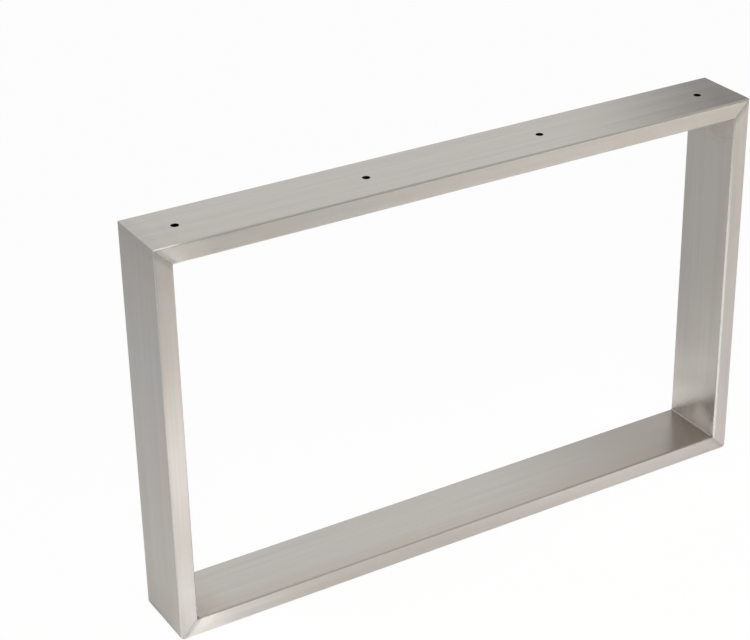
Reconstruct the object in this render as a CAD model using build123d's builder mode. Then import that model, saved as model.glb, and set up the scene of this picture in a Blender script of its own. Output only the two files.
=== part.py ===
# Table base: an upright frame of rectangular tube, mitred, welded and ground at its four corners.
# Millimetres. X runs along the frame, Y across it and Z up.
# The origin is on the floor, under the middle of the bottom rail.
import os

from build123d import *

# Outside size of the frame
frame_length = 720.0
frame_height = 445.0

# Tube: its width lies across the frame, its depth in the plane of the frame
tube_width = 80.0
tube_depth = 20.0
tube_wall = 1.5
bend_radius = 0.5  # inside the long edges of the tube

# Outside corners of the frame, ground this much rounder than the tube's own edges
top_corner_grind = 0.5
bottom_corner_grind = 2.5

# Seam along each mitre on the front and back faces, where the ground weld lies a little low
seam_width = 0.5
seam_depth = 0.25

# Fillet weld in each inside corner
weld_leg = 1.5
weld_hollow = 0.15  # how far its face dips below the straight line between its toes

# Screw holes in the top wall, and the wider holes below them that let in the screw head and the driver
screw_count = 4
screw_end_distance = 42.0
screw_hole_diameter = 8.5
access_hole_diameter = 14.0

# Sizes that follow from those above
edge_radius = bend_radius + tube_wall
corner_radius = {-1: edge_radius + bottom_corner_grind, 1: edge_radius + top_corner_grind}
inside_half_length = frame_length / 2 - tube_depth
inside_height = {-1: tube_depth, 1: frame_height - tube_depth}
middle_height = {-1: tube_depth / 2, 1: frame_height - tube_depth / 2}
mitre_length = tube_depth * 2**0.5
weld_length = tube_width - 2 * edge_radius
weld_dip = weld_leg / 2 - weld_hollow / 2**0.5
screw_pitch = (frame_length - 2 * screw_end_distance) / (screw_count - 1)
hole_reach = tube_depth / 2  # from a wall's outer face into the bore

# A corner of the frame is named by its side and its level
sides = {-1: "left", 1: "right"}
levels = {-1: "bottom", 1: "top"}


def inside_corner(side, level):
    """Middle of the line where the inner faces of a rail and an upright meet."""
    return (side * inside_half_length, 0, inside_height[level])


def mitre(side, level):
    """Plane of a mitre, with its normal pointing from the rail to the upright."""
    return Plane(inside_corner(side, level), x_dir=(0, 1, 0), z_dir=(side, 0, -level))


def tube_section(plane):
    """Rounded rectangle with an open bore, its width along Y."""
    with BuildSketch(plane) as section:
        RectangleRounded(tube_width, tube_depth, edge_radius)
        RectangleRounded(
            tube_width - 2 * tube_wall,
            tube_depth - 2 * tube_wall,
            bend_radius,
            mode=Mode.SUBTRACT,
        )
    return section.sketch


def seam_section(side, level):
    """Two diamonds that straddle the front and back faces, to be run outwards along the mitre."""
    across = Plane(inside_corner(side, level), x_dir=(0, 1, 0), z_dir=(side, 0, level))
    with BuildSketch(across) as section:
        with Locations((-tube_width / 2, 0), (tube_width / 2, 0)):
            Polygon(
                (seam_depth, 0),
                (0, seam_width / 2),
                (-seam_depth, 0),
                (0, -seam_width / 2),
                align=None,
            )
    return section.sketch


# Form that the outside is ground to: a plate with round corners, its edges as round as the tube's
with BuildPart() as ground_form:
    with BuildSketch(Plane.XZ) as outline:
        with Locations((0, frame_height / 2)):
            Rectangle(frame_length, frame_height)
        corners = outline.vertices().group_by(Axis.Y)
        fillet(corners[0], radius=corner_radius[-1])
        fillet(corners[-1], radius=corner_radius[1])
    extrude(amount=tube_width / 2, both=True)
    fillet(ground_form.faces().filter_by(Axis.Y).edges(), radius=edge_radius)


def rail_tube(level):
    """Tube along X, mitred at both ends, ground to the form and with its half of each seam."""
    across = Plane((0, 0, middle_height[level]), x_dir=(0, 1, 0), z_dir=(1, 0, 0))
    with BuildPart() as tube:
        extrude(tube_section(across), amount=frame_length / 2, both=True)
        for side in sides:
            split(bisect_by=mitre(side, level), keep=Keep.BOTTOM)
        add(ground_form.part, mode=Mode.INTERSECT)
        for side in sides:
            extrude(seam_section(side, level), amount=mitre_length, mode=Mode.SUBTRACT)
    return tube.part


def upright_tube(side):
    """Tube along Z, mitred at both ends, ground to the form and with its half of each seam."""
    middle = (side * (frame_length - tube_depth) / 2, 0, frame_height / 2)
    across = Plane(middle, x_dir=(0, 1, 0), z_dir=(0, 0, 1))
    with BuildPart() as tube:
        extrude(tube_section(across), amount=frame_height / 2, both=True)
        for level in levels:
            split(bisect_by=mitre(side, level), keep=Keep.TOP)
        add(ground_form.part, mode=Mode.INTERSECT)
        for level in levels:
            extrude(seam_section(side, level), amount=mitre_length, mode=Mode.SUBTRACT)
    return tube.part


def keep_piece(piece, name):
    """Label a finished piece and write it to its own file."""
    piece.part.label = name
    export_step(piece.part, f"parts/{name}.step")


os.makedirs("parts", exist_ok=True)

# Top rail: screw holes from above, access holes from below
with BuildPart() as top_rail:
    add(rail_tube(1))
    with Locations(Plane.XY.offset(frame_height)):
        with GridLocations(screw_pitch, tube_width, screw_count, 1):
            Hole(screw_hole_diameter / 2, depth=hole_reach)
    with Locations(-Plane.XY.offset(inside_height[1])):
        with GridLocations(screw_pitch, tube_width, screw_count, 1):
            Hole(access_hole_diameter / 2, depth=hole_reach)
keep_piece(top_rail, "top_rail")

# Bottom rail: plain tube that the frame stands on
with BuildPart() as bottom_rail:
    add(rail_tube(-1))
keep_piece(bottom_rail, "bottom_rail")

# Uprights: plain tubes
for side, side_name in sides.items():
    with BuildPart() as upright:
        add(upright_tube(side))
    keep_piece(upright, f"{side_name}_upright")

# Inside corners: a weld with a slightly hollow face lies against both tubes, between their rounded edges
for side, side_name in sides.items():
    for level, level_name in levels.items():
        into_window = Plane(inside_corner(side, level), x_dir=(-side, 0, 0), z_dir=(0, -side * level, 0))
        with BuildPart() as weld:
            with BuildSketch(into_window):
                with BuildLine():
                    Polyline((weld_leg, 0), (0, 0), (0, weld_leg))
                    ThreePointArc((0, weld_leg), (weld_dip, weld_dip), (weld_leg, 0))
                make_face()
            extrude(amount=weld_length / 2, both=True)
        keep_piece(weld, f"weld_{level_name}_{side_name}")
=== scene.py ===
import math

import bmesh
import bpy
from mathutils import Matrix, Vector


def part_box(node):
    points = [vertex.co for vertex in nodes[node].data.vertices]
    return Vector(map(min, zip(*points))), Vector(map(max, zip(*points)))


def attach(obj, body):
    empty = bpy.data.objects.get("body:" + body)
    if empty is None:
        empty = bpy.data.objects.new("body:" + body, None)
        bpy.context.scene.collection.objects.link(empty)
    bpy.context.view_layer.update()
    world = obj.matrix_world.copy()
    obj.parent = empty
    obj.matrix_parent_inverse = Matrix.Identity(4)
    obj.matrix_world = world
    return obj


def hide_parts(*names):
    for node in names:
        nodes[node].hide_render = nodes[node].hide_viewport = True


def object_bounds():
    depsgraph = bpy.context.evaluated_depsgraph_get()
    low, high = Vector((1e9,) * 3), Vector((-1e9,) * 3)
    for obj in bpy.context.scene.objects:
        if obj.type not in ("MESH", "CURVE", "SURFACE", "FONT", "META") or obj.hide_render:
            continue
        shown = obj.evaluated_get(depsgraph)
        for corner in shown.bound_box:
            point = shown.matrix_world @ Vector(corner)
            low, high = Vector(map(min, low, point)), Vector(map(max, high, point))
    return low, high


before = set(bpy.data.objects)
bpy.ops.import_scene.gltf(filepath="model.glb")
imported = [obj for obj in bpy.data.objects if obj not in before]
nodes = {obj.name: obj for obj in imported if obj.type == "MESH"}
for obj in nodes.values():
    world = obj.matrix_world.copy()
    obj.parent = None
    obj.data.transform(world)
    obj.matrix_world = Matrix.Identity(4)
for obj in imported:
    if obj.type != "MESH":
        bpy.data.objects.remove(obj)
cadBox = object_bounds()     # the CAD box, before anything is added
print("frame loaded:", sorted(nodes))

# sizes of the frame, in metres
boxLow, boxHigh = cadBox
frameLength = boxHigh.x - boxLow.x
frameHeight = boxHigh.z - boxLow.z
tubeWidth = boxHigh.y - boxLow.y
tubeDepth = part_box("bottom_rail")[1].z
mm = 0.001
edgeRadius = 2.0 * mm    # of the tubes' long edges


# shader maths: one output socket of a node tree, which joins in Python sums
class Wire:
    def __init__(self, tree, socket=None):
        self.tree = tree
        self.socket = socket

    # any node; its settings are set before its sockets
    def node(self, kind, settings=None, sockets=None, out=0):
        made = self.tree.nodes.new("ShaderNode" + kind)
        for name, value in (settings or {}).items():
            setattr(made, name, value)
        for name, value in (sockets or {}).items():
            if isinstance(value, Wire):
                self.tree.links.new(value.socket, made.inputs[name])
            else:
                made.inputs[name].default_value = value
        return Wire(self.tree, made.outputs[out] if len(made.outputs) else None)

    # another output of the same node
    def out(self, name):
        return Wire(self.tree, self.socket.node.outputs[name])

    def math(self, operation, *values):
        return self.node("Math", {"operation": operation}, dict(enumerate(values)))

    def __add__(self, other):
        return self.math("ADD", self, other)

    def __radd__(self, other):
        return self.math("ADD", other, self)

    def __sub__(self, other):
        return self.math("SUBTRACT", self, other)

    def __rsub__(self, other):
        return self.math("SUBTRACT", other, self)

    def __mul__(self, other):
        return self.math("MULTIPLY", self, other)

    def __rmul__(self, other):
        return self.math("MULTIPLY", other, self)

    def __abs__(self):
        return self.math("ABSOLUTE", self)

    # 0 below low, 1 above high, smooth between
    def rise(self, low, high):
        return self.node(
            "MapRange",
            {"interpolation_type": "SMOOTHSTEP"},
            {"Value": self, "From Min": low, "From Max": high},
        )

    # 1 below low, 0 above high, smooth between
    def fall(self, low, high):
        return 1 - self.rise(low, high)

    # 0 before a place, 1 past it
    def past(self, place):
        return self.rise(place - 1 * mm, place + 1 * mm)

    # 1 close under a face, 0 deeper than its skin
    def under(self, face, skin):
        deep, shallow = skin
        return self.rise(face - deep, face - shallow)

    def mixColour(self, factor, first, second):
        return self.node(
            "Mix",
            {"data_type": "RGBA"},
            {"Factor": factor, 6: first, 7: second},
            out=2,
        )

    # noise drawn out along the piece's own Z
    def grain(self, coords, acrossSize, alongSize, detail):
        pulled = self.node(
            "VectorMath",
            {"operation": "MULTIPLY"},
            {0: coords, 1: (1 / acrossSize, 1 / acrossSize, 1 / alongSize)},
        )
        return self.node("TexNoise", None, {"Vector": pulled, "Scale": 1.0, "Detail": detail})


def newMaterial(name):
    made = bpy.data.materials.new(name)
    made.use_nodes = True
    made.node_tree.nodes.clear()
    return made, Wire(made.node_tree)


def dress(piece, material):
    piece.data.materials.clear()
    piece.data.materials.append(material)


# brushed steel tube: the brushing runs along the piece's own Z, and Blender's own tangent runs round it
tubeFinish = {
    "paleSteel": (0.682, 0.668, 0.650, 1.0),
    "greySteel": (0.592, 0.577, 0.560, 1.0),
    "warmSteel": (0.645, 0.618, 0.580, 1.0),
    "groundSteel": (0.74, 0.725, 0.695, 1.0),
    # painted highlight colour: the buffed patches beside the left welds and the left upright's outer front
    # rim
    "highlightSteel": (0.95, 0.93, 0.89, 1.0),
    # painted glint colour of the sanded matt edges
    "glintSteel": (0.90, 0.905, 0.91, 1.0),
    # painted shade colour: on the bottom rail's upper face towards the right inside corner, and beside the
    # mitres
    "shadedSteel": (0.44, 0.415, 0.39, 1.0),
    "heatTint": (0.58, 0.50, 0.43, 1.0),
    "seamDirt": (0.17, 0.14, 0.115, 1.0),
    "anisotropy": 1.0,
    "roughness": 0.21,
    "streakRough": 0.12,                       # what each mark adds to the roughness
    "groundRough": 0.04,
    "rubbedRough": -0.04,
    "seamRough": 0.2,
    "mattEdge": 0.36,                          # roughness of the edges where they were ground
    "fineLine": (0.4 * mm, 70 * mm, 2.0),      # brush lines: size across and along, and detail
    "broadLine": (2.2 * mm, 220 * mm, 2.0),
    "wideLine": (7 * mm, 350 * mm, 1.0),
    "cloud": (30 * mm, 70 * mm, 1.0),
    "lineShares": (0.2, 0.4, 0.4),             # fine, broad and wide
    "lineContrast": (0.3, 0.7),
    "lineHeight": 0.02 * mm,
    "lineBump": 0.2,
    "warmCloud": (0.4, 0.7),
    "warmShare": 0.45,
    "innerSkin": (1.2 * mm, 0.4 * mm),         # where the inner faces turn into their edges
    "openSkin": (1.4 * mm, 0.6 * mm),          # and the front and back ones
    "edgeSkin": (edgeRadius, 0.3 * edgeRadius),
    "rubbedBreaks": (0.35, 0.65),
    "rubbedShare": 0.45,
    "grindEdge": (3 * mm, 15 * mm),            # from the mitre
    "grindJitter": 16 * mm,
    "grindShare": 0.15,
    "grindSmooth": 0.75,                       # share of the brushing that it took away
    "tintStart": (10 * mm, 18 * mm),           # from the mitre
    "tintEnd": (20 * mm, 34 * mm),
    "tintShare": 0.16,
    "scorchEdge": (17 * mm, 44 * mm),          # from the inside corner
    "scorchPeak": (-14 * mm, -10 * mm),        # it climbs highest between these places across the tube
    "scorchSlope": (0.5, 0.75),                # and falls off to the front and to the back
    "scorchJitter": 12 * mm,
    "scorchTint": 0.2,
    "scorchClean": 0.5,
    "scorchLines": (0.4, 0.6),
    "grooveEdge": (0.25 * mm, 0.6 * mm),       # from the mitre
    "grooveMatt": 0.65,
    "dirtScale": 140.0,
    "dirtDetail": 1.0,
    "dirtBreaks": (0.36, 0.56),
    "dirtShare": 0.25,
    "shadeEdge": (2 * mm, 8 * mm),             # from the mitre
    # where the painted highlight beside the left welds lies
    "highlightStart": (2 * mm, 6 * mm),           # from the mitre
    "highlightEnd": (3 * mm, 50 * mm),            # from the inside corner
    "highlightShare": 0.68,
    "highlightLower": 0.17,                       # so much more on the bottom rail
    "stainEdge": (-34 * mm, -6 * mm),          # across the tube
    # painted shade on the bottom rail's upper face, darker towards the right inside corner
    "cornerShadeEnd": (60 * mm, 330 * mm),            # from the inside corner
    "cornerShadeShare": 0.8,
    "cornerShadeStained": 0.2,                        # so much more where the stain is
    # where the painted glint on the sanded top front edge ends
    "glintEnd": (18 * mm, 36 * mm),           # from the top rail's end
    "stripSide": (0.35 * edgeRadius, 0.05 * edgeRadius),
    "stripDepth": (1.8 * edgeRadius, 1.2 * edgeRadius),
    "stripTop": (0.5 * frameHeight, frameHeight),
    "rimStart": (0.62 * frameHeight, 0.85 * frameHeight),
    "rimGlintShare": 0.45,
    "rimHighlightShare": 0.25,
}
# how strong each mark is
uprightWear = {
    "isRail": False,
    "buffedHighlight": 0.0,
    "stain": 0.0,
    "cornerShade": 0.0,
    "seamShade": 0.6,
    "scorchRough": 0.2,
    "scorchMatt": 0.95,
    "sandedGlint": 0.6,
}
railWear = {
    "isRail": True,
    "buffedHighlight": 1.0,
    "stain": 0.3,
    "cornerShade": 1.0,
    "seamShade": 0.45,
    "scorchRough": 0.03,
    "scorchMatt": 0.0,
    "sandedGlint": 0.85,
}


# run: middle and half of the tube's length
# cross: the sign of its own X, and the frame's middle and half that way
def brushedSteel(name, run, cross, wear):
    look = tubeFinish
    material, w = newMaterial(name)
    coords = w.node("TexCoord", out="Object")
    xyz = w.node("SeparateXYZ", None, {0: coords})
    along = xyz.out("Z")
    frontToBack = xyz.out("Y")
    across = abs(frontToBack)
    inPlane = xyz.out("X") * cross["sign"]
    fromEnd = run["half"] - abs(along - run["middle"])
    depth = cross["half"] - abs(inPlane - cross["middle"])
    mitreGap = (fromEnd - depth) * math.sqrt(0.5)
    cornerGap = fromEnd - tubeDepth

    fine = w.grain(coords, *look["fineLine"])
    broad = w.grain(coords, *look["broadLine"])
    wide = w.grain(coords, *look["wideLine"])
    cloud = w.grain(coords, *look["cloud"])
    fineShare, broadShare, wideShare = look["lineShares"]
    streak = fine * fineShare + broad * broadShare + wide * wideShare

    # parts of the tube; the high end is the top of an upright and the right of a rail
    innerFace = depth.under(tubeDepth, look["innerSkin"])
    openFace = across.under(tubeWidth / 2, look["openSkin"])
    openEdge = across.under(tubeWidth / 2, look["edgeSkin"])
    innerEdge = depth.under(tubeDepth, look["edgeSkin"])
    deep, shallow = look["edgeSkin"]
    outerEdge = depth.fall(shallow, deep)
    longEdge = openEdge * (outerEdge + innerEdge)
    highEnd = along.past(run["middle"])
    lowRail = 1 - inPlane.past(frameHeight / 2)
    frontHalf = 1 - frontToBack.past(0.0)

    # the weld ground flush: a smoother, brighter patch beside the mitre
    edgeOfGrind = mitreGap + (cloud - 0.5) * look["grindJitter"]
    ground = edgeOfGrind.fall(*look["grindEdge"])
    # heat left a straw tint past the patch, and a stronger one by the weld inside the frame
    tint = edgeOfGrind.rise(*look["tintStart"]) * edgeOfGrind.fall(*look["tintEnd"])
    peakFront, peakBack = look["scorchPeak"]
    slopeFront, slopeBack = look["scorchSlope"]
    ahead = w.math("MAXIMUM", peakFront - frontToBack, 0.0)
    behind = w.math("MAXIMUM", frontToBack - peakBack, 0.0)
    edgeOfScorch = cornerGap + behind * slopeBack + ahead * slopeFront
    edgeOfScorch = edgeOfScorch + (broad - 0.5) * look["scorchJitter"]
    scorch = innerFace * edgeOfScorch.fall(*look["scorchEdge"])
    # dirt in the seam on the front and back faces, in broken runs
    dirt = {"Vector": coords, "Scale": look["dirtScale"], "Detail": look["dirtDetail"]}
    broken = w.node("TexNoise", None, dirt).rise(*look["dirtBreaks"])
    groove = abs(mitreGap).fall(*look["grooveEdge"]) * openFace
    seam = groove * broken
    # one side of the mitre stays darker at the top corners and at the bottom right one
    shade = openFace * highEnd * mitreGap.fall(*look["shadeEdge"])
    if wear["isRail"]:
        shade = shade * lowRail
    # long edges rubbed brighter than the faces
    rubbed = longEdge * (0.5 + 0.5 * broad.rise(*look["rubbedBreaks"]))
    # buffed patch beside the left welds, painted bright as a highlight, more so at the bottom
    buffedHighlight = mitreGap.rise(*look["highlightStart"]) * cornerGap.fall(*look["highlightEnd"])
    buffedHighlight = openFace * (1 - highEnd) * buffedHighlight * (look["highlightShare"] + look["highlightLower"] * lowRail)
    # handling stain along the front of the bottom rail's upper face, and painted shade on that face, darker
    # towards the right inside corner
    atFront = frontToBack.fall(*look["stainEdge"])
    stain = innerFace * lowRail * atFront
    cornerShade = innerFace * lowRail * highEnd * cornerGap.fall(*look["cornerShadeEnd"])
    cornerShade = cornerShade * (look["cornerShadeShare"] + look["cornerShadeStained"] * atFront)

    polished = ground * openFace * look["grindShare"] + rubbed * look["rubbedShare"]
    polished = polished + scorch * wear["scorchMatt"] * look["scorchClean"]
    heated = tint * look["tintShare"] + scorch * look["scorchTint"]
    steel = w.mixColour(streak.rise(*look["lineContrast"]), look["greySteel"], look["paleSteel"])
    steel = w.mixColour(cloud.rise(*look["warmCloud"]) * look["warmShare"], steel, look["warmSteel"])
    steel = w.mixColour(polished, steel, look["groundSteel"])
    # painted highlight beside the left welds
    steel = w.mixColour(buffedHighlight * wear["buffedHighlight"], steel, look["highlightSteel"])
    # painted shade: towards the bottom rail's right inside corner, and beside the mitres
    steel = w.mixColour(cornerShade * wear["cornerShade"] + shade * wear["seamShade"], steel, look["shadedSteel"])
    steel = w.mixColour(heated + stain * wear["stain"], steel, look["heatTint"])
    steel = w.mixColour(seam * look["dirtShare"], steel, look["seamDirt"])
    # sanded matt edges, painted pale as a glint: the top front edge beside the left mitre, the right
    # upright's inner front edge and, faintly, the upper part of the left upright's outer front edge
    if wear["isRail"]:
        sandedGlint = openEdge * outerEdge * (1 - lowRail) * (1 - highEnd) * fromEnd.fall(*look["glintEnd"])
    else:
        onRight = inPlane.past(0.0)
        glintStrip = across.under(tubeWidth / 2, look["stripSide"]) * depth.under(tubeDepth, look["stripDepth"])
        highlightRim = (1 - onRight) * openEdge * outerEdge
        sandedGlint = onRight * glintStrip * along.fall(*look["stripTop"])
        sandedGlint = sandedGlint + highlightRim * along.rise(*look["rimStart"]) * look["rimGlintShare"]
        # painted highlight along the left upright's outer front rim
        steel = w.mixColour(highlightRim * frontHalf * look["rimHighlightShare"], steel, look["highlightSteel"])
    sandedGlint = sandedGlint * frontHalf * wear["sandedGlint"]
    # painted glint on the sanded edges
    steel = w.mixColour(sandedGlint, steel, look["glintSteel"])

    roughness = look["roughness"] + (streak - 0.5) * look["streakRough"] + ground * look["groundRough"]
    roughness = roughness + rubbed * look["rubbedRough"] + seam * look["seamRough"]
    roughness = roughness + scorch * wear["scorchRough"]
    roughness = roughness + ground * longEdge * (look["mattEdge"] - roughness)
    matt = scorch * wear["scorchMatt"] * (0.5 + 0.5 * streak.rise(*look["scorchLines"]))
    matt = w.math("MAXIMUM", matt, sandedGlint + groove * look["grooveMatt"])
    lines = streak * (1 - ground * look["grindSmooth"]) * (1 - longEdge)
    bump = w.node(
        "Bump",
        None,
        {"Strength": look["lineBump"], "Distance": look["lineHeight"], "Height": lines},
    )
    shader = w.node(
        "BsdfPrincipled",
        None,
        {
            "Base Color": steel,
            "Metallic": 1 - matt,
            "Roughness": roughness,
            "Anisotropic": look["anisotropy"],
            "Normal": bump,
        },
    )
    w.node("OutputMaterial", None, {"Surface": shader})
    return material


uprightSteel = brushedSteel(
    "upright_brushed_steel",
    {"middle": frameHeight / 2, "half": frameHeight / 2},
    {"sign": 1.0, "middle": 0.0, "half": frameLength / 2},
    uprightWear,
)
railSteel = brushedSteel(
    "rail_brushed_steel",
    {"middle": 0.0, "half": frameLength / 2},
    {"sign": -1.0, "middle": frameHeight / 2, "half": frameHeight / 2},
    railWear,
)
for name in ("left_upright", "right_upright"):
    dress(nodes[name], uprightSteel)

# rails: the same form on an object whose own Z lies along the rail, so that it is brushed lengthwise
alongX = Matrix.Rotation(math.radians(90), 4, "Y")
for name in ("top_rail", "bottom_rail"):
    mesh = nodes[name].data.copy()
    mesh.transform(alongX.inverted())
    rail = bpy.data.objects.new(name + "_brushed", mesh)
    rail.matrix_world = alongX
    bpy.context.scene.collection.objects.link(rail)
    dress(rail, railSteel)
    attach(rail, "root")
    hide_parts(name)
print("tubes brushed")

# weld in each inside corner: a shallow rippled bead, its ends drawn round the tubes' rounded edges
weldBead = {
    "dip": 0.08 * mm,                   # below the straight line between its toes
    "ripple": 0.08 * mm,
    "ripplePitch": 1.4 * mm,
    "rippleBow": 0.4,                   # of a pitch, in the middle of the face
    "ringStep": 0.25 * mm,
    "facePoints": 11,
    "endTaper": 3.0 * mm,
    "endLeg": 0.62,                     # share of its leg that is left at the ends
    "frontFlare": 8.0 * mm,             # over this length at the front
    "ends": {                           # half length of each bead, and how much fuller it is at the front
        "weld_bottom_left": (39.5 * mm, 0.9),
        "weld_bottom_right": (39.5 * mm, 1.1),
        "weld_top_left": (38.2 * mm, 0.0),
        "weld_top_right": (38.2 * mm, 0.0),
    },
    "paleSteel": (0.50, 0.475, 0.44, 1.0),
    "toeBrown": (0.33, 0.275, 0.225, 1.0),
    # painted shade colour of the craters at the bead's ends
    "endPitShade": (0.10, 0.085, 0.07, 1.0),
    "roughness": 0.34,
    "toeEdge": (0.7 * mm, 1.5 * mm),    # from the middle of the face
    "toeShare": 0.55,
    "toeRough": 0.1,
    "pitSkin": (4 * mm, 2 * mm),        # from the tube's front and back faces
    "pitShadeShare": 0.45,
    "mottleScale": 260.0,
    "mottleDetail": 3.0,
    "mottleShare": 0.5,
    "mottleRough": 0.2,
    "mottleBump": 0.3,
    "mottleHeight": 0.1 * mm,
}


def makeBead(name, material):
    low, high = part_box(name)
    side = 1 if low.x > 0 else -1
    level = 1 if low.z > frameHeight / 2 else -1
    corner = Vector((high.x if side > 0 else low.x, 0, high.z if level > 0 else low.z))
    fullLeg = high.x - low.x
    reach, flare = weldBead["ends"][name]
    endLeg = weldBead["endLeg"]
    count = weldBead["facePoints"]
    rings = round(2 * reach / weldBead["ringStep"])
    shape = bmesh.new()
    loops = []
    for i in range(rings + 1):
        y = -reach + 2 * reach * i / rings
        beyond = max(0.0, abs(y) - (tubeWidth / 2 - edgeRadius))
        drop = edgeRadius - math.sqrt(edgeRadius * edgeRadius - beyond * beyond)
        fade = min(1.0, (reach - abs(y)) / weldBead["endTaper"])
        full = max(0.0, 1 - (y + reach) / weldBead["frontFlare"])
        taper = endLeg + (1 - endLeg) * math.sqrt(1 - (1 - fade) ** 2)
        leg = fullLeg * taper * (1 + flare * full * full)
        loop = [shape.verts.new(corner + Vector((side * drop, y, level * drop)))]
        for k in range(count):
            c = 2 * k / (count - 1) - 1
            crown = 1 - c * c
            phase = 2 * math.pi * (y / weldBead["ripplePitch"] + weldBead["rippleBow"] * crown)
            lift = (weldBead["ripple"] * math.sin(phase) - weldBead["dip"]) * crown
            u = leg * (1 + c) / 2 + lift * math.sqrt(0.5) - drop
            v = leg * (1 - c) / 2 + lift * math.sqrt(0.5) - drop
            loop.append(shape.verts.new(corner + Vector((-side * u, y, -level * v))))
        loops.append(loop)
    for first, second in zip(loops, loops[1:]):
        for k in range(len(first)):
            n = (k + 1) % len(first)
            shape.faces.new((first[k], first[n], second[n], second[k]))
    shape.faces.new(loops[0])
    shape.faces.new(loops[-1])
    bmesh.ops.recalc_face_normals(shape, faces=shape.faces)
    for face in shape.faces:
        face.smooth = len(face.verts) == 4
    mesh = bpy.data.meshes.new(name + "_bead")
    shape.to_mesh(mesh)
    shape.free()
    bead = bpy.data.objects.new(name + "_bead", mesh)
    bpy.context.scene.collection.objects.link(bead)
    dress(bead, material)
    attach(bead, "root")
    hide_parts(name)


def weldSteel():
    look = weldBead
    material, w = newMaterial("weld_bead_steel")
    coords = w.node("TexCoord", out="Object")
    xyz = w.node("SeparateXYZ", None, {0: coords})
    fromUpright = abs(frameLength / 2 - tubeDepth - abs(xyz.out("X")))
    fromRail = abs(frameHeight / 2 - tubeDepth - abs(xyz.out("Z") - frameHeight / 2))
    toe = abs(fromUpright - fromRail).rise(*look["toeEdge"])
    pitShade = abs(xyz.out("Y")).under(tubeWidth / 2, look["pitSkin"])
    mottle = w.node(
        "TexNoise",
        None,
        {"Vector": coords, "Scale": look["mottleScale"], "Detail": look["mottleDetail"]},
    )
    brown = toe * look["toeShare"] + (mottle - 0.5) * look["mottleShare"]
    steel = w.mixColour(brown, look["paleSteel"], look["toeBrown"])
    # painted shade in the craters where each bead ends at the tubes' front and back faces
    steel = w.mixColour(pitShade * look["pitShadeShare"], steel, look["endPitShade"])
    roughness = look["roughness"] + (mottle - 0.5) * look["mottleRough"] + toe * look["toeRough"]
    bump = w.node(
        "Bump",
        None,
        {"Strength": look["mottleBump"], "Distance": look["mottleHeight"], "Height": mottle},
    )
    shader = w.node(
        "BsdfPrincipled",
        None,
        {"Base Color": steel, "Metallic": 1.0, "Roughness": roughness, "Normal": bump},
    )
    w.node("OutputMaterial", None, {"Surface": shader})
    return material


beadSteel = weldSteel()
for name in weldBead["ends"]:
    makeBead(name, beadSteel)
print("welds laid")

# pale studio: bright wall behind, dark side to the right
studio = {
    "white": (1.0, 1.0, 1.0, 1.0),
    "floorHalf": 6.0,
    "floorDrop": 0.3 * mm,              # below the bottom rail
    "floorColour": (0.80, 0.80, 0.80, 1.0),
    "floorWhite": (0.965, 0.05),        # share of plain white that the camera sees, and reflections see
    "worldWhite": (1.0, 0.10),
    "wallGlow": 0.809,                  # behind the frame
    "ceilingGlow": 0.555,
    "frontGlow": 0.386,
    "darkSide": 0.166,
    "leftGlow": 0.511,
    "wallColour": (1.0, 0.977, 0.945, 1.0),
    "roomColour": (1.0, 0.975, 0.94, 1.0),
    "wallTop": (45, 62),                # degrees of tilt from the horizon behind, over the top, to the front
    "frontTop": (115, 140),
    "rightEdge": (0.543, 0.631),        # sideways part of a direction
    "leftEdge": (0.42, 0.56),
}
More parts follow.
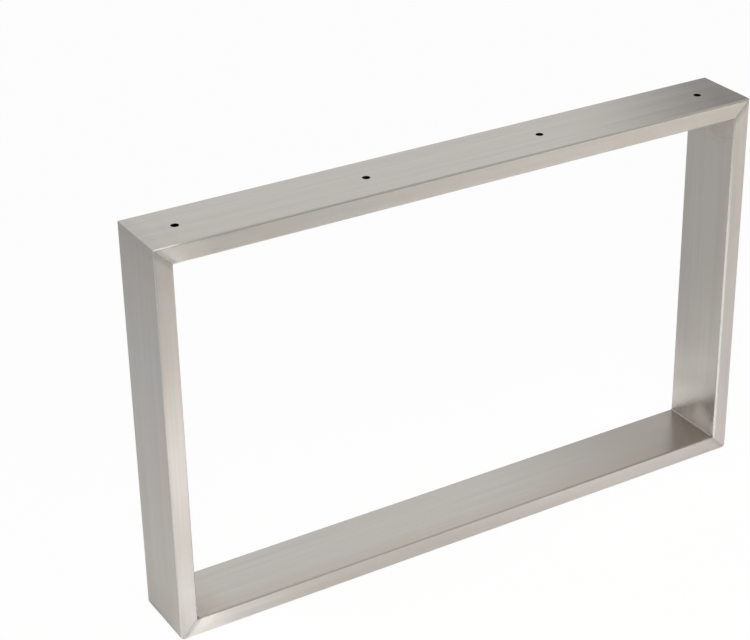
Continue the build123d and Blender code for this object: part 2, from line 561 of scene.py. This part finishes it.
# soft lamps that lay pools of light on the floor, which the tubes mirror
lamps = {
    "foot_spot": {
        "place": (-0.31, -0.22, 0.35), "aim": (-0.31, -0.09, 0.0), "size": (0.08, 0.08),
        "power": 0.026, "colour": (0.88, 0.92, 1.00), "spread": 34,
    },
    "right_foot": {
        "place": (0.25, -0.25, 0.40), "aim": (0.25, -0.06, 0.0), "size": (0.38, 0.05),
        "power": 0.0441, "colour": (1.00, 0.93, 0.95), "spread": 40,
    },
    "left_pool": {
        "place": (-0.26, -0.44, 0.50), "aim": (-0.22, -0.34, 0.0), "size": (0.15, 0.30),
        "power": 0.0993, "colour": (0.95, 0.94, 1.00), "spread": 50,
    },
    "front_strip": {
        "place": (-0.20, -0.55, 0.95), "aim": (-0.12, -0.27, 0.0), "size": (0.9, 0.4),
        "power": 1.84, "colour": (1.00, 0.92, 0.83), "spread": 80,
    },
    "back_left": {
        "place": (-0.80, 0.35, 0.90), "aim": (-0.55, 0.40, 0.0), "size": (0.40, 0.50),
        "power": 0.226, "colour": (0.77, 0.87, 1.00), "spread": 70,
    },
    "far_left": {
        "place": (-0.90, 0.70, 0.90), "aim": (-0.70, 0.80, 0.0), "size": (0.30, 0.40),
        "power": 0.0754, "colour": (0.97, 0.99, 1.00), "spread": 60,
    },
    "warm_pool": {
        "place": (0.00, -0.95, 0.50), "aim": (0.00, -0.84, 0.0), "size": (0.80, 0.08),
        "power": 0.0644, "colour": (1.00, 0.98, 0.85), "spread": 50,
    },
    "window_spot": {
        "place": (0.295, 0.165, 0.30), "aim": (0.29, 0.098, 0.0), "size": (0.03, 0.03),
        "power": 0.00464, "colour": (0.94, 0.95, 1.00), "spread": 17,
    },
    "window_far": {
        "place": (0.24, 0.25, 0.35), "aim": (0.24, 0.155, 0.0), "size": (0.04, 0.04),
        "power": 0.00411, "colour": (0.97, 0.98, 1.00), "spread": 20,
    },
    "edge_pool": {
        "place": (-0.85, -0.28, 0.60), "aim": (-0.75, -0.21, 0.0), "size": (0.30, 0.15),
        "power": 0.15, "colour": (1.00, 0.96, 0.93), "spread": 50,
    },
    "right_strip": {
        "place": (0.60, -0.45, 0.90), "aim": (0.50, -0.20, 0.0), "size": (0.5, 0.3),
        "power": 0.527, "colour": (1.00, 0.93, 0.94), "spread": 80,
    },
    "middle_bank": {
        "place": (0.62, -1.00, 0.90), "aim": (0.58, -0.88, 0.0), "size": (0.40, 0.30),
        "power": 0.339, "colour": (1.00, 0.99, 0.87), "spread": 60,
    },
    "right_bank": {
        "place": (1.10, -1.00, 1.20), "aim": (1.05, -0.90, 0.0), "size": (0.9, 0.6),
        "power": 1.08, "colour": (1.00, 0.94, 0.80), "spread": 90,
    },
    "far_bank": {
        "place": (1.70, -1.70, 1.20), "aim": (1.60, -1.50, 0.0), "size": (0.9, 0.9),
        "power": 6.1, "colour": (1.00, 0.85, 0.74), "spread": 90,
    },
}


# how much of the plain white a ray meets
def whiteShare(w, toCamera, inReflections):
    path = w.node("LightPath", out="Is Camera Ray")
    reflected = path.out("Is Glossy Ray") + path.out("Is Transmission Ray")
    return path * toCamera + reflected * inReflections


def makeFloor():
    half = studio["floorHalf"]
    mesh = bpy.data.meshes.new("floor")
    corners = [(-half, -half, 0), (half, -half, 0), (half, half, 0), (-half, half, 0)]
    mesh.from_pydata(corners, [], [(0, 1, 2, 3)])
    floor = bpy.data.objects.new("floor", mesh)
    floor.location.z = -studio["floorDrop"]
    bpy.context.scene.collection.objects.link(floor)
    material, w = newMaterial("white_floor")
    seen = whiteShare(w, *studio["floorWhite"])
    lit = w.node("BsdfDiffuse", None, {"Color": studio["floorColour"]})
    plain = w.node("Emission", None, {"Color": studio["white"], "Strength": 1.0})
    both = w.node("MixShader", None, {0: seen, 1: lit, 2: plain})
    w.node("OutputMaterial", None, {"Surface": both})
    dress(floor, material)


def makeWorld():
    world = bpy.data.worlds.new("studio_world")
    world.use_nodes = True
    world.node_tree.nodes.clear()
    bpy.context.scene.world = world
    w = Wire(world.node_tree)
    direction = w.node("SeparateXYZ", None, {0: w.node("TexCoord", out="Generated")})
    side, forward, height = direction.out("X"), direction.out("Y"), direction.out("Z")
    tilt = w.math("ARCTAN2", w.math("MAXIMUM", height, 0.0), forward)
    overhead = tilt.rise(*[math.radians(v) for v in studio["wallTop"]])
    inFront = tilt.rise(*[math.radians(v) for v in studio["frontTop"]])
    toRight = side.rise(*studio["rightEdge"])
    toLeft = (0 - side).rise(*studio["leftEdge"])
    glow = studio["wallGlow"] + toRight * (studio["darkSide"] - studio["wallGlow"])
    glow = glow + overhead * (studio["ceilingGlow"] - glow)
    glow = glow + inFront * (studio["frontGlow"] - glow)
    glow = glow + toLeft * (studio["leftGlow"] - glow)
    wall = (1 - overhead) * (1 - toRight) * (1 - toLeft)
    colour = w.mixColour(wall, studio["roomColour"], studio["wallColour"])
    seen = whiteShare(w, *studio["worldWhite"])
    lit = w.node("Background", None, {"Color": colour, "Strength": glow})
    plain = w.node("Background", None, {"Color": studio["white"], "Strength": 1.0})
    both = w.node("MixShader", None, {0: seen, 1: lit, 2: plain})
    w.node("OutputWorld", None, {"Surface": both})


def makeLamp(name, lampSet):
    place, aim = Vector(lampSet["place"]), Vector(lampSet["aim"])
    lamp = bpy.data.lights.new(name, "AREA")
    lamp.shape = "RECTANGLE"
    lamp.size, lamp.size_y = lampSet["size"]
    lamp.energy = lampSet["power"]
    lamp.color = lampSet["colour"]
    lamp.spread = math.radians(lampSet["spread"])
    piece = bpy.data.objects.new(name, lamp)
    piece.location = place
    piece.rotation_euler = (aim - place).to_track_quat("-Z", "Y").to_euler()
    piece.visible_glossy = False
    piece.visible_camera = False
    bpy.context.scene.collection.objects.link(piece)


makeFloor()
makeWorld()
for name, lampSet in lamps.items():
    makeLamp(name, lampSet)
print("studio lit")

# camera without roll, fitted to the frame's edges in the photograph, which is cropped off-centre
view = {
    "place": (-1.04835, -1.62471, 1.25617),
    "azimuth": -32.64588,
    "elevation": 27.38988,
    "focalPixels": 2031.545,
    "middlePixel": 448.812,    # where the lens points, across the image
    "imageWidth": 750.0,
    "sensorWidth": 36.0,
}


def makeCamera():
    lens = bpy.data.cameras.new("camera")
    lens.sensor_width = view["sensorWidth"]
    lens.lens = view["sensorWidth"] * view["focalPixels"] / view["imageWidth"]
    lens.shift_x = 0.5 - view["middlePixel"] / view["imageWidth"]
    camera = bpy.data.objects.new("camera", lens)
    turn = math.radians(view["azimuth"])
    lift = math.radians(view["elevation"])
    back = Vector((math.sin(turn) * math.cos(lift), -math.cos(turn) * math.cos(lift), math.sin(lift)))
    right = Vector((math.cos(turn), math.sin(turn), 0))
    axes = Matrix((right, back.cross(right), back)).transposed().to_4x4()
    camera.matrix_world = Matrix.Translation(view["place"]) @ axes
    bpy.context.scene.collection.objects.link(camera)
    bpy.context.scene.camera = camera


makeCamera()
bpy.context.scene.view_settings.view_transform = "Standard"
print("camera set")
